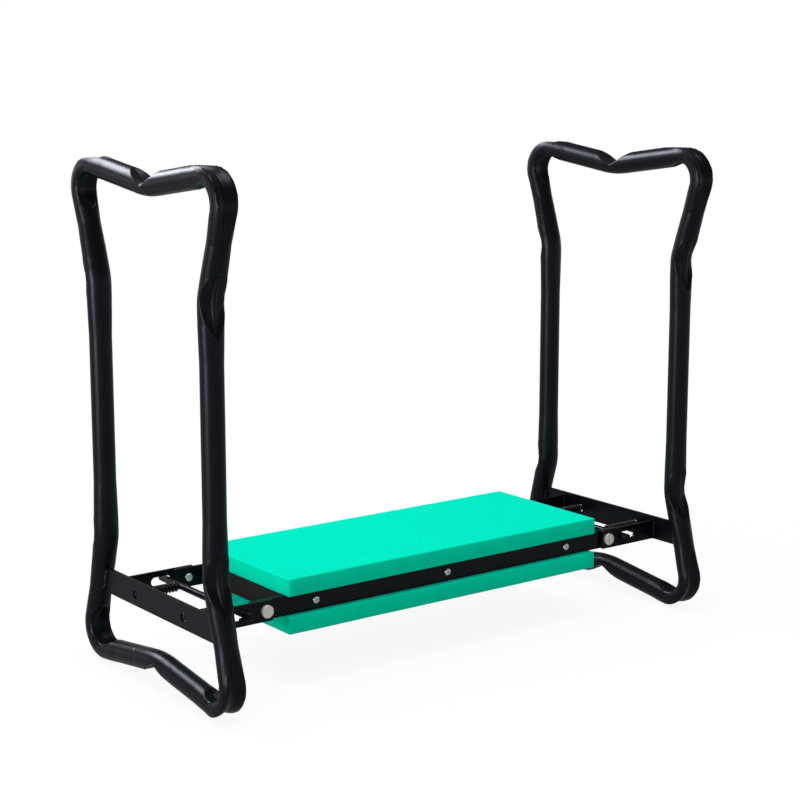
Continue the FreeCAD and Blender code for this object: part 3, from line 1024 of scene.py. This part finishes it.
def studio_surroundings(scene):
    """World that looks white, gives plain light, and has a dim ceiling in reflections."""
    world = scene.world or bpy.data.worlds.new("studio")
    scene.world = world
    world.use_nodes = True
    tree = world.node_tree
    tree.nodes.clear()
    place = add_node(tree, "ShaderNodeTexCoord").outputs["Generated"]
    height = add_node(tree, "ShaderNodeSeparateXYZ", links={"Vector": place})
    path = add_node(tree, "ShaderNodeLightPath")
    ceiling = add_node(
        tree, "ShaderNodeMapRange", {"From Min": 0.0, "From Max": 0.22, "To Min": 0.0, "To Max": 0.85},
        {"Value": height.outputs["Z"]},
    )
    dimmed = add_node(
        tree, "ShaderNodeMath", {"operation": "MULTIPLY"},
        {0: ceiling.outputs["Result"], 1: path.outputs["Is Glossy Ray"]},
    )
    white = add_node(
        tree, "ShaderNodeMapRange", {"To Min": WORLD_LIGHT, "To Max": 1.0}, {"Value": seen_directly(tree)}
    )
    strength = add_node(
        tree, "ShaderNodeMath", {"operation": "SUBTRACT"},
        {0: white.outputs["Result"], 1: dimmed.outputs["Value"]},
    )
    shader = add_node(
        tree, "ShaderNodeBackground", {"Color": (1, 1, 1, 1)}, {"Strength": strength.outputs["Value"]}
    )
    add_node(tree, "ShaderNodeOutputWorld", links={"Surface": shader.outputs["Background"]})


def studio_lamps():
    """Soft lamps above, behind and to the left of the stool."""
    soft_lamp("overhead", Vector((-0.2, -0.1, 2.1)), Vector((0, 0, 0.1)), (1.0, 1.0), 15)
    soft_lamp("back", Vector((-0.5, 2.1, 1.8)), Vector((0, 0, 0.4)), (1.0, 1.0), 18)
    soft_lamp("left_fill", Vector((-2.2, -0.15, 0.36)), Vector((0, 0, 0.25)), (0.6, 0.6), 22)
    # A strip behind the stool that only shows in gloss, as the soft streak along each bar.
    streak = soft_lamp("streak", Vector((-0.7, 2.1, 1.7)), Vector((0, 0, 0.45)), (1.2, 0.9), 46)
    streak.data.color = (0.86, 0.88, 1.0)
    streak.visible_diffuse = False


def photo_camera(scene):
    """Camera at the photograph's place."""
    lens = bpy.data.cameras.new("photo_camera")
    lens.sensor_width = 36
    lens.lens = 81.0
    camera = bpy.data.objects.new("photo_camera", lens)
    camera.location = (-1.0890, -1.4439, 0.5808)
    camera.rotation_euler = (math.radians(90 - 10.526), 0, math.radians(-36.882))
    scene.collection.objects.link(camera)
    scene.camera = camera


def seen_directly(tree):
    """1 for rays from the camera, mirrors and glass, 0 for the light that falls on things."""
    path = add_node(tree, "ShaderNodeLightPath")
    pair = add_node(
        tree, "ShaderNodeMath", {"operation": "MAXIMUM"},
        {0: path.outputs["Is Camera Ray"], 1: path.outputs["Is Glossy Ray"]},
    )
    both = add_node(
        tree, "ShaderNodeMath", {"operation": "MAXIMUM"},
        {0: pair.outputs["Value"], 1: path.outputs["Is Transmission Ray"]},
    )
    return both.outputs["Value"]


def studio_floor():
    """White studio floor that keeps a soft shadow near the stool and fades into the backdrop."""
    material, tree, place = new_material("studio_floor")
    away = add_node(tree, "ShaderNodeVectorMath", {"operation": "LENGTH"}, {0: place})
    fade = add_node(
        tree, "ShaderNodeMapRange",
        {"interpolation_type": "SMOOTHSTEP", "From Min": 0.3, "From Max": 1.0, "To Min": 0.9, "To Max": 1.0},
        {"Value": away.outputs["Value"]},
    )
    glow = add_node(
        tree, "ShaderNodeMath", {"operation": "MULTIPLY"}, {0: seen_directly(tree), 1: fade.outputs["Result"]}
    )
    # In reflections the floor is a dim grey, as a studio table is, so that the black coat stays black.
    path = add_node(tree, "ShaderNodeLightPath")
    strength = add_node(
        tree, "ShaderNodeMapRange", {"To Min": 1.0, "To Max": 0.36}, {"Value": path.outputs["Is Glossy Ray"]}
    )
    tone = add_node(
        tree, "ShaderNodeMix", {"data_type": "RGBA", "A": (0.45, 0.45, 0.45, 1), "B": (0.97, 0.97, 0.97, 1)},
        {"Factor": path.outputs["Is Camera Ray"]},
    )
    matt = add_node(tree, "ShaderNodeBsdfDiffuse", links={"Color": tone.outputs[2]})
    white = add_node(
        tree, "ShaderNodeEmission", {"Color": (1, 1, 1, 1)}, {"Strength": strength.outputs["Result"]}
    )
    mixed = add_node(
        tree, "ShaderNodeMixShader",
        links={"Fac": glow.outputs["Value"], 1: matt.outputs["BSDF"], 2: white.outputs["Emission"]},
    )
    add_node(tree, "ShaderNodeOutputMaterial", links={"Surface": mixed.outputs["Shader"]})
    return material


def soft_lamp(name, place, target, size, power):
    """Area lamp, so wide and so tall, that faces a point."""
    lamp = bpy.data.lights.new(name, "AREA")
    lamp.shape = "RECTANGLE"
    lamp.size, lamp.size_y = size
    lamp.energy = power
    holder = bpy.data.objects.new(name, lamp)
    holder.location = place
    holder.rotation_euler = (target - place).to_track_quat("-Z", "Y").to_euler()
    bpy.context.scene.collection.objects.link(holder)
    return holder


class STOOL_OT_stage(Operator):
    """Set up the floor, the light and the camera"""

    bl_idname = "stool.stage"
    bl_label = "Stage"

    def execute(self, context):
        build_stage()
        return {"FINISHED"}


class STOOL_OT_loops(Operator):
    """Build the two bent tube loops"""

    bl_idname = "stool.loops"
    bl_label = "Tube Loops"

    def execute(self, context):
        build_loops()
        return {"FINISHED"}


class STOOL_OT_flat_steel(Operator):
    """Build the cross plates, arms and rails"""

    bl_idname = "stool.flat_steel"
    bl_label = "Flat Steel"

    def execute(self, context):
        build_flat_steel()
        return {"FINISHED"}


class STOOL_OT_welds(Operator):
    """Build the weld beads"""

    bl_idname = "stool.welds"
    bl_label = "Welds"

    def execute(self, context):
        build_welds()
        return {"FINISHED"}


class STOOL_OT_pivots(Operator):
    """Build the pivot pins and washers"""

    bl_idname = "stool.pivots"
    bl_label = "Pivots"

    def execute(self, context):
        build_pivots()
        return {"FINISHED"}


class STOOL_OT_latches(Operator):
    """Build the lock rods and their springs"""

    bl_idname = "stool.latches"
    bl_label = "Latches"

    def execute(self, context):
        build_latches()
        return {"FINISHED"}


class STOOL_OT_core(Operator):
    """Build the moulded core"""

    bl_idname = "stool.core"
    bl_label = "Core"

    def execute(self, context):
        build_core()
        return {"FINISHED"}


class STOOL_OT_screws(Operator):
    """Build the rail screws"""

    bl_idname = "stool.screws"
    bl_label = "Screws"

    def execute(self, context):
        build_screws()
        return {"FINISHED"}


class STOOL_OT_pads(Operator):
    """Build the foam pads"""

    bl_idname = "stool.pads"
    bl_label = "Foam Pads"

    def execute(self, context):
        build_pads()
        return {"FINISHED"}


OPERATORS = (
    STOOL_OT_stage,
    STOOL_OT_loops,
    STOOL_OT_flat_steel,
    STOOL_OT_welds,
    STOOL_OT_pivots,
    STOOL_OT_latches,
    STOOL_OT_core,
    STOOL_OT_screws,
    STOOL_OT_pads,
)


class STOOL_PT_sidebar(Panel):
    """Lists the stool's pieces in the sidebar"""

    bl_idname = "STOOL_PT_sidebar"
    bl_label = "Garden Stool"
    bl_space_type = "VIEW_3D"
    bl_region_type = "UI"
    bl_category = "Stool"

    def draw(self, context):
        for operator in OPERATORS:
            self.layout.operator(operator.bl_idname)


CLASSES = (LoopSizes, SteelSizes, FoamSizes, Finishes, StoolSettings, *OPERATORS, STOOL_PT_sidebar)


def register():
    """Registers the classes and hangs the settings on the scene."""
    for cls in CLASSES:
        bpy.utils.register_class(cls)
    bpy.types.Scene.garden_stool = PointerProperty(type=StoolSettings)


def unregister():
    """Takes everything back out."""
    del bpy.types.Scene.garden_stool
    for cls in reversed(CLASSES):
        bpy.utils.unregister_class(cls)


def main():
    """Builds the stool."""
    register()
    bpy.ops.stool.stage()
    bpy.ops.stool.loops()
    bpy.ops.stool.flat_steel()
    bpy.ops.stool.welds()
    bpy.ops.stool.pivots()
    bpy.ops.stool.latches()
    bpy.ops.stool.core()
    bpy.ops.stool.screws()
    bpy.ops.stool.pads()


if __name__ == "__main__":
    main()
